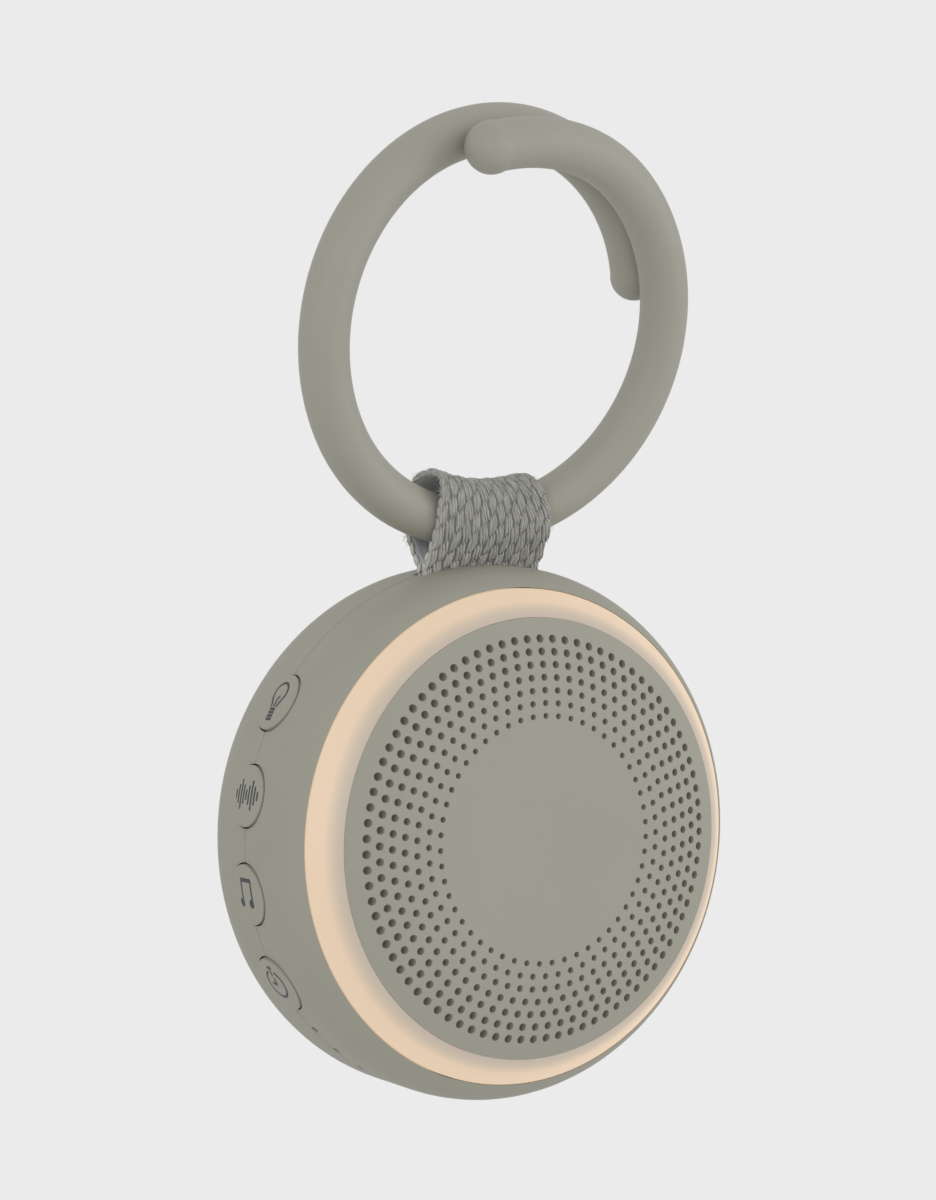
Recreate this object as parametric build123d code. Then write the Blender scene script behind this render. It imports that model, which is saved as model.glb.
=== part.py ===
from build123d import *
import os
from math import cos, hypot, pi, radians, sin, sqrt

# Musical night light: a round pocket speaker with a glowing ring, hung from a split ring by a webbing loop.
# Lengths are in millimetres. While it is built, the body's axis runs along Y through the parting line,
# the front faces -Y and Z is up. At the end everything moves so that the hang point is the origin.

# Body shell, two halves that meet at the parting line
body_radius = 45.65
wall = 2.0
front_straight = 4.8
shoulder_radius = 11.6
rear_straight = 6.6
rear_corner_radius = 13.5
seam_bevel = 0.25
tongue_length = 1.5
tongue_thickness = 0.8
seam_clearance = 0.15
overrun = 3.0

# Light ring, the lip that holds it and the small lamps behind it
light_opening_inset = 3.75
light_ring_width = 5.0
lip_land = 0.66
ring_clearance = 0.15
grille_clearance = 0.06
light_crown = 0.35
light_skin = 1.5
light_leg = 1.1
light_leg_lift = 0.4
lamp_board_thickness = 1.0
lamp_count = 16
lamp_size = 1.6
lamp_height = 0.7

# Domed grille with rings of holes that grow towards the edge
grille_dome_width = 16.9
grille_dome_radius = 50.7
grille_stand = 6.96
grille_thickness = 1.6
hole_ring_count = 7
first_hole_ring_margin = 0.6
last_hole_ring_margin = 3.5
hole_pitch = 2.54
smallest_hole = 1.0
largest_hole = 1.4
cloth_thickness = 0.4
cloth_gap = 0.05

# Inner frame that carries the grille, the light ring and the speaker
seat_step = 2.4
frame_plate = 1.8
frame_flange = 1.6
frame_wall = 1.7
frame_window_margin = 2.5
frame_clearance = 0.2
frame_leg_depth = 3.8
frame_leg_width = 7.0
frame_leg_gap = 0.6
ear_thickness = 1.6

# Speaker
speaker_leg_gap = 2.6
basket_seat = 3.4
basket_flange = 1.2
basket_wall = 1.0
basket_depth = 9.0
basket_window_count = 6
basket_window_share = 0.342
gasket_thickness = 0.6
gasket_width = 1.8
top_plate_share = 0.577
top_plate_thickness = 1.2
magnet_inset = 0.8
magnet_length = 4.8
magnet_step = 0.4
back_plate_thickness = 1.4
pole_share = 0.333
coil_gap = 0.3
coil_wall = 0.45
coil_length = 7.0
cone_gap = 0.3
cone_skin = 0.5
cone_rise = 3.8
cone_joint = 0.05
cap_overlap = 0.85
cap_height = 1.8
cap_skin = 0.4
surround_skin = 0.35
surround_lip = 1.4

# Main board, its switches, chips and charging socket
switch_axis_height = 3.0
switch_height = 5.6
switch_width = 6.2
switch_depth = 4.4
plunger_radius = 1.6
plunger_length = 2.9
plunger_clearance = 0.1
plunger_engagement = 0.9
plunger_stop_gap = 0.3
board_thickness = 1.6
board_inset = 4.45
board_hole_clearance = 1.6
board_flat_inset = 10.15
board_tab_width = 12.0
board_tab_length = 3.2
chip_size = 8.0
chip_height = 1.2
chip_inset = 12.2
chip_angles = (0, 200)
socket_width = 8.94
socket_height = 3.26
socket_length = 7.4
socket_corner = 1.3
socket_skin = 0.3
socket_depth = 6.0
socket_tongue_width = 6.7
socket_tongue_thickness = 0.7
socket_tongue_length = 4.5
socket_recess = 0.75
socket_lift = 0.05
socket_clearance = 0.25

# Push buttons round the left edge, centred on the parting line
button_radius_share = 0.1117
button_clearance = 0.28
button_rise = 0.45
button_crown = 0.3
button_flange_width = 1.1
button_flange = 1.0
button_flange_gap = 0.35
button_post_radius = 2.0
button_travel = 0.6
button_step = 20.4
button_middle = 180.2
button_names = ("light", "sound", "music", "timer")

# Indicator windows below the buttons
indicator_radius = 0.65
indicator_clearance = 0.05
indicator_offset = 1.1
indicator_recess = 0.15
indicator_length = 5.0
indicator_collar_radius = 1.3
indicator_collar = 1.0
indicator_angles = (223.3, 230.4, 237.5)

# Screws that clamp the rear shell, the board and the frame's ears to the front shell
screw_angles = (45, 125, 254, 315)
screw_inset = 7.65
screw_radius = 1.25
screw_clearance = 0.08
screw_head_radius = 2.4
screw_head_height = 1.8
screw_grip = 5.2
boss_radius = 3.0
boss_front = 7.3
boss_rib = 1.6
screw_engagement = 6.0
post_radius = 4.0
well_radius = 2.8
hole_clearance = 0.3

# Battery
battery_margin = 7.15
battery_height_share = 0.68
battery_thickness = 6.0
battery_corner = 2.0
tape_thickness = 0.6
tape_margin = 2.0

# Webbing strap, its anchor pin and its slot
strap_width = 24.0
strap_thickness = 1.4
strap_side_play = 2.2
strap_gap = 0.4
strap_top_gap = 1.3
strap_shoulder = 3.7
slot_half_width = 2.2
slot_end_clearance = 0.6
tail_clearance = 0.3
pin_radius = 1.5
pin_clearance = 0.05
pin_inset = 5.65
pin_overhang = 2.6
rib_thickness = 2.0
rib_gap = 0.5
rib_radius = 3.0

# Split hanging ring, a little over one turn of thick wire
ring_radius = 33.3
ring_wire = 4.2
ring_strand_gap = 0.65
ring_shift = -2.45
ring_stand = 7.35
ring_tilt = 18.1
ring_start_angle = 17
ring_end_angle = 467.5
ring_step_start_angle = 48
ring_step_end_angle = 215
ring_draw_in = 0.7
ring_draw_angle = 20
ring_lift = 2.6
ring_lift_angle = 90
ring_ball_share = 1.05
ring_tail_share = 1.02
ring_spans = 8

# Places that follow from the sizes above
inner_radius = body_radius - wall
shoulder_centre = body_radius - shoulder_radius
corner_centre = body_radius - rear_corner_radius
back_face = rear_straight + rear_corner_radius
back_inner = back_face - wall
rebate_radius = inner_radius + tongue_thickness + seam_clearance
rebate_depth = tongue_length + seam_clearance
light_opening_radius = body_radius - light_opening_inset
grille_radius = light_opening_radius - light_ring_width
grille_flat_radius = grille_radius - grille_dome_width
first_hole_ring_radius = grille_flat_radius + first_hole_ring_margin
last_hole_ring_radius = grille_radius - last_hole_ring_margin
screw_circle = inner_radius - screw_inset
frame_leg_outer = screw_circle - boss_radius - frame_leg_gap
frame_leg_inner = frame_leg_outer - frame_leg_depth
speaker_radius = frame_leg_inner - speaker_leg_gap
frame_window_radius = speaker_radius - frame_window_margin
basket_lip_radius = speaker_radius - basket_seat
top_plate_radius = speaker_radius * top_plate_share
basket_window_radius = (basket_lip_radius - top_plate_radius) * basket_window_share
magnet_radius = top_plate_radius - magnet_inset
pole_radius = top_plate_radius * pole_share
board_radius = inner_radius - board_inset
board_top_flat = inner_radius - board_flat_inset
chip_circle = board_radius - chip_inset
battery_width = 2 * (corner_centre - battery_margin)
battery_height = battery_width * battery_height_share
pin_height = inner_radius - pin_inset
button_radius = body_radius * button_radius_share
button_flange_radius = button_radius + button_flange_width
ring_height = body_radius + ring_stand


def shoulder_depth(radius, arc):
    """Depth of an arc about the shoulder's centre, at a radius from the body's axis."""
    return -front_straight - sqrt(arc**2 - (radius - shoulder_centre) ** 2)


opening_front = shoulder_depth(light_opening_radius, shoulder_radius)
grille_front = grille_stand - opening_front
flange_plane = shoulder_depth(light_opening_radius + lip_land, shoulder_radius - wall)
frame_front = flange_plane - seat_step
frame_back = frame_front + frame_plate
light_inner_radius = grille_radius + grille_clearance
light_outer_radius = light_opening_radius - ring_clearance
frame_wall_radius = light_inner_radius + light_leg + ring_clearance
basket_front = frame_back + gasket_thickness
top_plate_back = basket_front + basket_depth
magnet_back = top_plate_back + magnet_length
coil_inner = pole_radius + coil_gap
coil_outer = coil_inner + coil_wall
gap_outer = coil_outer + coil_wall
cap_width = coil_outer + cap_overlap
board_front = switch_axis_height
board_back = board_front + board_thickness
ear_front = board_front - ear_thickness
well_floor = board_back + screw_grip
socket_axis = board_back + socket_lift + socket_height / 2
strap_hinge_height = ring_height - (ring_wire + strap_gap) * sqrt(2)
strap_bottom = strap_hinge_height - strap_thickness
button_angles = [button_middle + button_step * (index - (len(button_names) - 1) / 2)
                 for index in range(len(button_names))]
ring_pitch = 2 * ring_wire + ring_strand_gap
bottom_angle = 270


def turned(*edges):
    """Solid of revolution about Y from a closed outline of radius and depth."""
    return revolve(make_face(Curve() + list(edges)), Axis.Y)


def band(inner, outer, front, back):
    """Plain ring between two radii and two depths."""
    return turned(Polyline((inner, front), (outer, front), (outer, back), (inner, back), close=True))


def disc(radius, front, back):
    """Plain disc about the body's axis."""
    return band(0, radius, front, back)


def polar(angle, radius, depth=0):
    """Point at an angle from +X towards +Z, at a radius and a depth."""
    return (radius * cos(radians(angle)), depth, radius * sin(radians(angle)))


def outward(angle, radius, depth=0):
    """Plane that looks outward: local X is depth and local Y runs round the body."""
    return Plane(polar(angle, radius, depth), x_dir=(0, 1, 0), z_dir=polar(angle, 1))


def backward(angle, radius, depth):
    """Plane that looks to the back: local X points outward and local Y runs round the body."""
    return Plane(polar(angle, radius, depth), x_dir=polar(angle, 1), z_dir=(0, 1, 0))


upward = (Align.CENTER, Align.CENTER, Align.MIN)


def spoke(angle, radius, start, end, depth=0):
    """Round bar that points outward between two radii."""
    return outward(angle, start, depth) * Cylinder(radius, end - start, align=upward)


def rod(angle, circle, radius, front, back):
    """Round bar along the body's axis, at an angle and a radius."""
    return backward(angle, circle, front) * Cylinder(radius, back - front, align=upward)


def rail(angle, start, end, width, front, back):
    """Flat bar that points outward, between two radii and two depths."""
    size = (end - start, width, back - front)
    return backward(angle, start, front) * Box(*size, align=(Align.MIN, Align.CENTER, Align.MIN))


def button_holes():
    return [spoke(angle, button_radius + button_clearance, inner_radius - overrun, body_radius + overrun)
            for angle in button_angles]


def indicator_holes():
    size = indicator_radius + indicator_clearance
    return [spoke(angle, size, inner_radius - overrun, body_radius + overrun, -indicator_offset)
            for angle in indicator_angles]


def strap_slot():
    width = strap_width + 2 * slot_end_clearance
    low = inner_radius - overrun
    return Pos(0, 0, low) * Box(width, 2 * slot_half_width, wall + 2 * overrun, align=upward)


def front_housing():
    outer_edge = (body_radius, -front_straight)
    opening_edge = (light_opening_radius, opening_front)
    land_edge = (light_opening_radius + lip_land, flange_plane)
    inner_edge = (inner_radius, -front_straight)
    shell = turned(
        Polyline(inner_edge, (inner_radius, -rebate_depth), (rebate_radius, -rebate_depth),
                 (rebate_radius, 0), (body_radius - seam_bevel, 0), (body_radius, -seam_bevel), outer_edge),
        TangentArc(outer_edge, opening_edge, tangent=(0, -1)),
        Polyline(opening_edge, (light_opening_radius, flange_plane), land_edge),
        TangentArc(inner_edge, land_edge, tangent=(0, -1)),
    )
    rib_outer = inner_radius + wall / 2
    rib_back = -rebate_depth - wall / 4
    hole_end = ear_front - screw_engagement - hole_clearance
    for angle in screw_angles:
        shell += rail(angle, screw_circle, rib_outer, boss_rib, -boss_front, rib_back)
        shell += rod(angle, screw_circle, boss_radius, -boss_front, ear_front)
        shell -= rod(angle, screw_circle, screw_radius + screw_clearance, hole_end, ear_front)
    return shell - button_holes() - indicator_holes() - strap_slot()


def rear_housing():
    rim_edge = (body_radius, rear_straight)
    back_edge = (corner_centre, back_face)
    rim = Polyline((body_radius - seam_bevel, 0), (body_radius, seam_bevel), rim_edge)
    corner = TangentArc(rim_edge, back_edge, tangent=(0, 1))
    filled = turned(rim, corner, Polyline(back_edge, (0, back_face), (0, 0), (body_radius - seam_bevel, 0)))
    inner_rim = (inner_radius, rear_straight)
    inner_back = (corner_centre, back_inner)
    tongue = inner_radius + tongue_thickness
    shell = turned(
        rim, corner, Polyline(back_edge, (0, back_face), (0, back_inner), inner_back),
        TangentArc(inner_rim, inner_back, tangent=(0, 1)),
        Polyline(inner_rim, (inner_radius, -tongue_length), (tongue, -tongue_length), (tongue, 0),
                 (body_radius - seam_bevel, 0)),
    )
    hole = screw_radius + hole_clearance
    for angle in screw_angles:
        shell += rod(angle, screw_circle, post_radius, board_back, back_face) & filled
        shell -= rod(angle, screw_circle, hole, board_back - overrun, well_floor + overrun)
        shell -= rod(angle, screw_circle, well_radius, well_floor, back_face + overrun)
    room = 2 * socket_clearance
    mouth = RectangleRounded(socket_height + room, socket_width + room, socket_corner)
    shell -= outward(bottom_angle, inner_radius - overrun, socket_axis) * extrude(mouth, wall + 2 * overrun)
    return shell + anchor_ribs() - button_holes() - indicator_holes() - strap_slot()


def anchor_ribs():
    """Two ribs that stand on the back wall and hold the ends of the strap's pin."""
    inside = strap_width / 2 + rib_gap
    reach = back_inner + wall / 2
    foot = pin_height - rib_radius
    blade = make_face(Polyline((0, foot), (reach, foot), (reach, foot + rib_thickness),
                               (0, pin_height + rib_radius), close=True))
    blade = Plane.YZ * (blade + Pos(0, pin_height) * Circle(rib_radius))
    rib = extrude(blade, rib_thickness / 2, both=True)
    ribs = [Pos(side * (inside + rib_thickness / 2), 0, 0) * rib for side in (1, -1)]
    hole = Plane.YZ * Circle(pin_radius + pin_clearance)
    length = inside + rib_thickness + overrun
    return (ribs[0] + ribs[1]) - Pos(0, 0, pin_height) * extrude(hole, length, both=True) & shell_space()


def shell_space():
    """Space inside the shell and half way into the rear wall, which trims the ribs."""
    half_wall = wall / 2
    room = inner_radius - half_wall / 2
    rim_edge = (inner_radius + half_wall, rear_straight)
    back_edge = (corner_centre, back_inner + half_wall)
    rear = turned(
        Polyline((0, seam_bevel), (inner_radius + half_wall, seam_bevel), rim_edge),
        TangentArc(rim_edge, back_edge, tangent=(0, 1)),
        Polyline(back_edge, (0, back_inner + half_wall), (0, seam_bevel)),
    )
    return rear + disc(room, -rib_radius - overrun, seam_bevel)


def light_ring():
    inner_front = (light_inner_radius, grille_edge_front())
    outer_front = (light_outer_radius, opening_front)
    slope = hypot(outer_front[0] - inner_front[0], outer_front[1] - inner_front[1])
    across = ((outer_front[1] - inner_front[1]) / slope, (inner_front[0] - outer_front[0]) / slope)
    middle = ((inner_front[0] + outer_front[0]) / 2 + across[0] * light_crown,
              (inner_front[1] + outer_front[1]) / 2 + across[1] * light_crown)
    rise = (outer_front[1] - inner_front[1]) / (outer_front[0] - inner_front[0])
    leg_in = light_inner_radius + light_leg
    leg_out = light_outer_radius - light_leg
    skin = light_skin * slope / (outer_front[0] - inner_front[0])
    roof_in = inner_front[1] + rise * light_leg + skin
    roof_out = inner_front[1] + rise * (leg_out - light_inner_radius) + skin
    leg_end = frame_front + light_leg_lift
    return turned(
        ThreePointArc(inner_front, middle, outer_front),
        Polyline(outer_front, (light_outer_radius, leg_end), (leg_out, leg_end), (leg_out, roof_out),
                 (leg_in, roof_in), (leg_in, frame_front), (light_inner_radius, frame_front), inner_front),
    )


def dome_depth(radius, offset):
    """Depth of the grille's dome, or of a surface behind it, at a radius."""
    arc = grille_dome_radius - offset
    return -grille_front + grille_dome_radius - sqrt(arc**2 - (radius - grille_flat_radius) ** 2)


def grille_edge_front():
    return dome_depth(grille_radius, 0)


def dome_shell(radius, front, back):
    """Domed plate between two offsets behind the grille's face, out to a radius."""
    edges = []
    for offset in (front, back):
        flat = (grille_flat_radius, offset - grille_front)
        edges.append(Line((0, offset - grille_front), flat))
        edges.append(TangentArc(flat, (radius, dome_depth(radius, offset)), tangent=(1, 0)))
    edges.append(Line((0, front - grille_front), (0, back - grille_front)))
    edges.append(Line((radius, dome_depth(radius, front)), (radius, dome_depth(radius, back))))
    return turned(*edges)


def grille_cover():
    """Dome on a rim, with a hole at the top of every ring and an even pitch round each one."""
    rim_inner = grille_radius - grille_thickness
    cover = dome_shell(grille_radius, 0, grille_thickness)
    cover += turned(Polyline((rim_inner, dome_depth(rim_inner, grille_thickness / 2)),
                             (grille_radius, dome_depth(grille_radius, grille_thickness / 2)),
                             (grille_radius, frame_front), (rim_inner, frame_front), close=True))
    holes = Sketch()
    for ring in range(hole_ring_count):
        share = ring / (hole_ring_count - 1)
        radius = first_hole_ring_radius + share * (last_hole_ring_radius - first_hole_ring_radius)
        size = smallest_hole + share * (largest_hole - smallest_hole)
        count = round(2 * pi * radius / hole_pitch)
        holes += [place * Circle(size / 2) for place in PolarLocations(radius, count, start_angle=90)]
    front = Plane((0, -grille_front - overrun, 0), x_dir=(-1, 0, 0), z_dir=(0, 1, 0))
    rise = grille_edge_front() + grille_front
    return cover - front * extrude(holes, 2 * overrun + grille_thickness + rise)


def grille_cloth():
    radius = grille_radius - grille_thickness - ring_clearance
    front = grille_thickness + cloth_gap
    return dome_shell(radius, front, front + cloth_thickness)


def inner_frame():
    flange_radius = light_opening_radius + lip_land - frame_clearance
    wall_back = frame_wall_radius - frame_wall
    frame = turned(Polyline(
        (frame_window_radius, frame_front), (frame_wall_radius, frame_front),
        (frame_wall_radius, flange_plane), (flange_radius, flange_plane),
        (flange_radius, flange_plane + frame_flange), (wall_back, flange_plane + frame_flange),
        (wall_back, frame_back), (frame_window_radius, frame_back), close=True))
    leg_front = frame_back - frame_plate / 2
    ear_inner = frame_leg_outer - frame_leg_depth / 2
    hole = screw_radius + hole_clearance
    for angle in screw_angles:
        frame += rail(angle, frame_leg_inner, frame_leg_outer, frame_leg_width, leg_front, board_front)
        frame += rail(angle, ear_inner, screw_circle, 2 * boss_radius, ear_front, board_front)
        frame += rod(angle, screw_circle, boss_radius, ear_front, board_front)
        frame -= rod(angle, screw_circle, hole, ear_front - overrun, board_front + overrun)
    return frame


def lamp_board():
    inner = frame_wall_radius + ring_clearance
    outer = light_outer_radius - ring_clearance
    return band(inner, outer, flange_plane - lamp_board_thickness, flange_plane)


def lamps():
    front = flange_plane - lamp_board_thickness - lamp_height
    circle = (frame_wall_radius + light_outer_radius) / 2
    chip = Box(lamp_size, lamp_size, lamp_height, align=upward)
    return [backward(360 * index / lamp_count, circle, front) * chip for index in range(lamp_count)]


def speaker_gasket():
    return band(speaker_radius - gasket_width, speaker_radius, frame_back, basket_front)


def speaker_basket():
    flange_back = basket_front + basket_flange
    plate_front = top_plate_back - top_plate_thickness
    basket = turned(Polyline(
        (basket_lip_radius, basket_front), (speaker_radius, basket_front), (speaker_radius, flange_back),
        (basket_lip_radius + basket_wall, flange_back), (top_plate_radius, plate_front),
        (top_plate_radius, top_plate_back), (gap_outer, top_plate_back), (gap_outer, plate_front),
        (top_plate_radius - basket_wall, plate_front),
        (basket_lip_radius, flange_back - basket_wall / 2), close=True))
    circle = (basket_lip_radius + top_plate_radius) / 2
    for index in range(basket_window_count):
        angle = 360 * index / basket_window_count
        basket -= rod(angle, circle, basket_window_radius, basket_front, top_plate_back)
    return basket


def speaker_magnet():
    return band(gap_outer + magnet_step, magnet_radius, top_plate_back, magnet_back)


def speaker_yoke():
    plate = disc(magnet_radius - magnet_step, magnet_back, magnet_back + back_plate_thickness)
    return plate + disc(pole_radius, top_plate_back - top_plate_thickness, magnet_back)


cone_radius = basket_lip_radius - 2 * surround_lip - cone_gap
cone_inner = coil_outer + cone_joint


def cone_face(radius):
    """Depth of the cone's front at a radius, from its edge level with the basket's front."""
    return basket_front + cone_rise * (cone_radius - radius) / (cone_radius - cone_inner)


def speaker_cone():
    neck = cone_face(cone_inner)
    edge_back = basket_front + cone_skin
    return turned(Polyline((cone_inner, neck), (cone_radius, basket_front), (cone_radius, edge_back),
                           (cone_inner, neck + cone_skin), close=True))


def dust_cap():
    foot = cone_face(cap_width) - cone_joint
    crown = foot - cap_height
    return turned(
        TangentArc((0, crown), (cap_width, foot), tangent=(1, 0)),
        Line((cap_width, foot), (cap_width - cap_skin, foot)),
        TangentArc((0, crown + cap_skin), (cap_width - cap_skin, foot), tangent=(1, 0)),
        Line((0, crown), (0, crown + cap_skin)),
    )


def voice_coil():
    front = cone_face(cone_inner) + cone_joint
    return band(coil_inner, coil_outer, front, front + coil_length)


def speaker_surround():
    """Half-round roll with a flat lip that is glued to the basket's flange."""
    edge = basket_lip_radius
    outer = surround_lip
    inner = surround_lip - surround_skin
    middle = edge - outer
    back = basket_front
    lip = back - surround_skin
    return turned(
        ThreePointArc((middle - outer, back), (middle, back - outer), (edge, lip)),
        Polyline((edge, lip), (edge + surround_lip, lip), (edge + surround_lip, back),
                 (middle + inner, back)),
        ThreePointArc((middle - inner, back), (middle, back - inner), (middle + inner, back)),
        Line((middle - outer, back), (middle - inner, back)),
    )


def main_board():
    board = band(magnet_radius + board_hole_clearance, board_radius, board_front, board_back)
    tab_start = board_radius - board_tab_length
    tab_end = board_radius + board_tab_length
    board += rail(bottom_angle, tab_start, tab_end, board_tab_width, board_front, board_back)
    room = 2 * board_radius
    board -= Pos(0, 0, board_top_flat) * Box(room, room, room, align=upward)
    hole = screw_radius + hole_clearance
    for angle in screw_angles:
        board -= rod(angle, screw_circle, hole, board_front - overrun, board_back + overrun)
    return board


def board_chips():
    chip = Box(chip_size, chip_size, chip_height, align=upward)
    return [backward(angle, chip_circle, board_back) * chip for angle in chip_angles]


button_face = body_radius + button_rise
button_flange_out = sqrt(inner_radius**2 - button_flange_radius**2) - button_flange_gap
button_flange_in = button_flange_out - button_flange
plunger_tip = button_flange_in - button_post_radius
switch_front = plunger_tip - plunger_length + plunger_engagement
plunger_well = plunger_engagement + button_travel + plunger_stop_gap


def switches():
    """Side-pressed switches, soldered to the front of the board, each with a well for its plunger."""
    bodies = []
    well = plunger_radius + plunger_clearance
    back = switch_front - switch_depth
    top = board_front - switch_height
    for angle in button_angles:
        body = rail(angle, back, switch_front, switch_width, top, board_front)
        body -= spoke(angle, well, switch_front - plunger_well, switch_front + overrun)
        bodies.append(body)
    return bodies


def button(angle):
    cap = spoke(angle, button_radius, button_flange_out, button_face + button_radius)
    crown_radius = (button_radius**2 + button_crown**2) / (2 * button_crown)
    cap = cap & outward(angle, button_face - crown_radius) * Sphere(crown_radius)
    cap += spoke(angle, button_flange_radius, button_flange_in, button_flange_out)
    return cap + spoke(angle, button_post_radius, plunger_tip, button_flange_in)


def plunger(angle):
    return spoke(angle, plunger_radius, plunger_tip - plunger_length, plunger_tip)


def indicator_pipes():
    pipes = []
    outer = body_radius - indicator_recess
    collar_out = inner_radius - hole_clearance
    for angle in indicator_angles:
        pipe = spoke(angle, indicator_radius, outer - indicator_length, outer, -indicator_offset)
        collar_in = collar_out - indicator_collar
        pipe += spoke(angle, indicator_collar_radius, collar_in, collar_out, -indicator_offset)
        pipes.append(pipe)
    return pipes


def charging_socket():
    mouth = body_radius - socket_recess
    base = outward(bottom_angle, mouth - socket_length, socket_axis)
    cavity = outward(bottom_angle, mouth - socket_depth, socket_axis)
    shell = extrude(RectangleRounded(socket_height, socket_width, socket_corner), socket_length)
    walls = 2 * socket_skin
    inner = RectangleRounded(socket_height - walls, socket_width - walls, socket_corner - socket_skin)
    tongue = Box(socket_tongue_thickness, socket_tongue_width, socket_tongue_length, align=upward)
    return base * shell - cavity * extrude(inner, socket_length) + cavity * tongue


def case_screws():
    front = ear_front - screw_engagement
    head_back = well_floor + screw_head_height
    screws = []
    for angle in screw_angles:
        screw = rod(angle, screw_circle, screw_radius, front, well_floor)
        screws.append(screw + rod(angle, screw_circle, screw_head_radius, well_floor, head_back))
    return screws


def battery_cell():
    cell = Box(battery_width, battery_thickness, battery_height)
    cell = fillet(cell.edges().filter_by(Axis.Y), battery_corner)
    return Pos(0, back_inner - tape_thickness - battery_thickness / 2, 0) * cell


def battery_tape():
    pad = Box(battery_width - 2 * tape_margin, tape_thickness, battery_height - 2 * tape_margin)
    return Pos(0, back_inner - tape_thickness / 2, 0) * pad


def strap_loop():
    """Loop round the ring's wire: a square corner at the bottom, straight sides and an arched top."""
    half = ring_wire + strap_side_play
    low = strap_hinge_height
    side_low = low + half
    side_high = ring_height + strap_shoulder
    edge_rise = ring_radius - sqrt(ring_radius**2 - (strap_width / 2 + abs(ring_shift)) ** 2)
    top = ring_height + ring_wire + edge_rise + strap_top_gap
    opening = make_face(
        Polyline((-half, side_high), (-half, side_low), (0, low), (half, side_low), (half, side_high)).edges()
        + ThreePointArc((half, side_high), (0, top), (-half, side_high)).edges())
    loop = offset(opening, strap_thickness, kind=Kind.ARC) - opening
    return extrude(Plane.YZ * loop, strap_width / 2, both=True)


def strap_tail():
    """Sewn end of the strap: both layers lie flat together and wrap the anchor pin."""
    turn = pin_radius + pin_clearance
    top = strap_bottom - tail_clearance
    legs = Pos(0, (pin_height + top) / 2) * Rectangle(2 * strap_thickness, top - pin_height)
    wrap = Circle(turn + strap_thickness)
    profile = legs + Pos(0, pin_height) * wrap - Pos(0, pin_height) * Circle(turn)
    return extrude(Plane.YZ * profile, strap_width / 2, both=True)


def strap_pin():
    length = strap_width / 2 + rib_gap + pin_overhang
    return Pos(0, 0, pin_height) * extrude(Plane.YZ * Circle(pin_radius), length, both=True)


def eased(share):
    """Smooth step from 0 to 1."""
    held = min(max(share, 0), 1)
    return held * held * (3 - 2 * held)


def ring_point(angle):
    """Point on the wire's centre line, before the ring leans: it steps forward by a strand on the left."""
    stepped = eased((angle - ring_step_start_angle) / (ring_step_end_angle - ring_step_start_angle))
    lifted = ring_lift * eased((angle - ring_end_angle + ring_lift_angle) / ring_lift_angle)
    drawn = ring_draw_in * eased((angle - ring_end_angle + ring_draw_angle) / ring_draw_angle)
    radius = ring_radius - drawn
    depth = ring_pitch * (1 - stepped) - lifted
    return Vector(radius * cos(radians(angle)), depth, ring_radius + radius * sin(radians(angle)))


def ring_direction(angle):
    small_share = 0.001
    return (ring_point(angle + small_share) - ring_point(angle - small_share)).normalized()


def biarc(start, start_direction, end, end_direction):
    """Two arcs that leave and arrive along the given directions and share a tangent where they meet."""
    span = end - start
    both = start_direction + end_direction
    spread = 2 * (1 - start_direction.dot(end_direction))
    reach = (sqrt(span.dot(both) ** 2 + spread * span.dot(span)) - span.dot(both)) / spread
    first = start + start_direction * reach
    second = end - end_direction * reach
    middle = (first + second) / 2
    return [TangentArc(start, middle, tangent=start_direction),
            TangentArc(middle, end, tangent=second - first)]


ring_lean = Location((ring_shift, 0, ring_height), (ring_tilt, 0, 0))


def hanging_ring():
    step = (ring_end_angle - ring_start_angle) / ring_spans
    angles = [ring_start_angle + step * index for index in range(ring_spans + 1)]
    arcs = []
    for start, end in zip(angles, angles[1:]):
        arcs += biarc(ring_point(start), ring_direction(start), ring_point(end), ring_direction(end))
    path = Wire([arc.edge() for arc in arcs])
    tube = sweep(Plane(path @ 0, z_dir=path % 0) * Circle(ring_wire), path=path)
    tail_end = Plane(path @ 0, z_dir=-(path % 0)) * Sphere(ring_wire * ring_tail_share)
    ball = Plane(path @ 1, z_dir=path % 1) * Sphere(ring_wire * ring_ball_share)
    print("ring tube volume over section times length", tube.volume / (pi * ring_wire**2 * path.length))
    gaps = [(ring_point(angle) - ring_point(angle + 360)).length - ring_wire * (1 + ring_ball_share)
            for angle in angles if angle + 360 <= ring_end_angle]
    print("least gap between the ring's strands", min(gaps))
    return ring_lean * (tube + tail_end + ball)


def placed(solids, hang_point):
    """Moves one solid, or a list of separate ones, so that the hang point is the origin."""
    group = solids if isinstance(solids, list) else [solids]
    moved = [Pos(-hang_point.X, -hang_point.Y, -hang_point.Z) * solid for solid in group]
    return Compound(children=moved) if len(moved) > 1 else moved[0]


parts = {
    "hanging_ring": hanging_ring(),
    "strap_loop": strap_loop(),
    "strap_tail": strap_tail(),
    "strap_anchor_pin": strap_pin(),
    "front_housing": front_housing(),
    "rear_housing": rear_housing(),
    "light_ring": light_ring(),
    "grille_cover": grille_cover(),
    "grille_cloth": grille_cloth(),
    "inner_frame": inner_frame(),
    "lamp_board": lamp_board(),
    "lamps": lamps(),
    "speaker_gasket": speaker_gasket(),
    "speaker_basket": speaker_basket(),
    "speaker_magnet": speaker_magnet(),
    "speaker_yoke": speaker_yoke(),
    "speaker_surround": speaker_surround(),
    "speaker_cone": speaker_cone(),
    "dust_cap": dust_cap(),
    "voice_coil": voice_coil(),
    "main_board": main_board(),
    "board_chips": board_chips(),
    "switch_bodies": switches(),
    "charging_socket": charging_socket(),
    "indicator_pipes": indicator_pipes(),
    "case_screws": case_screws(),
    "battery_cell": battery_cell(),
    "battery_tape": battery_tape(),
}
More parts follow.
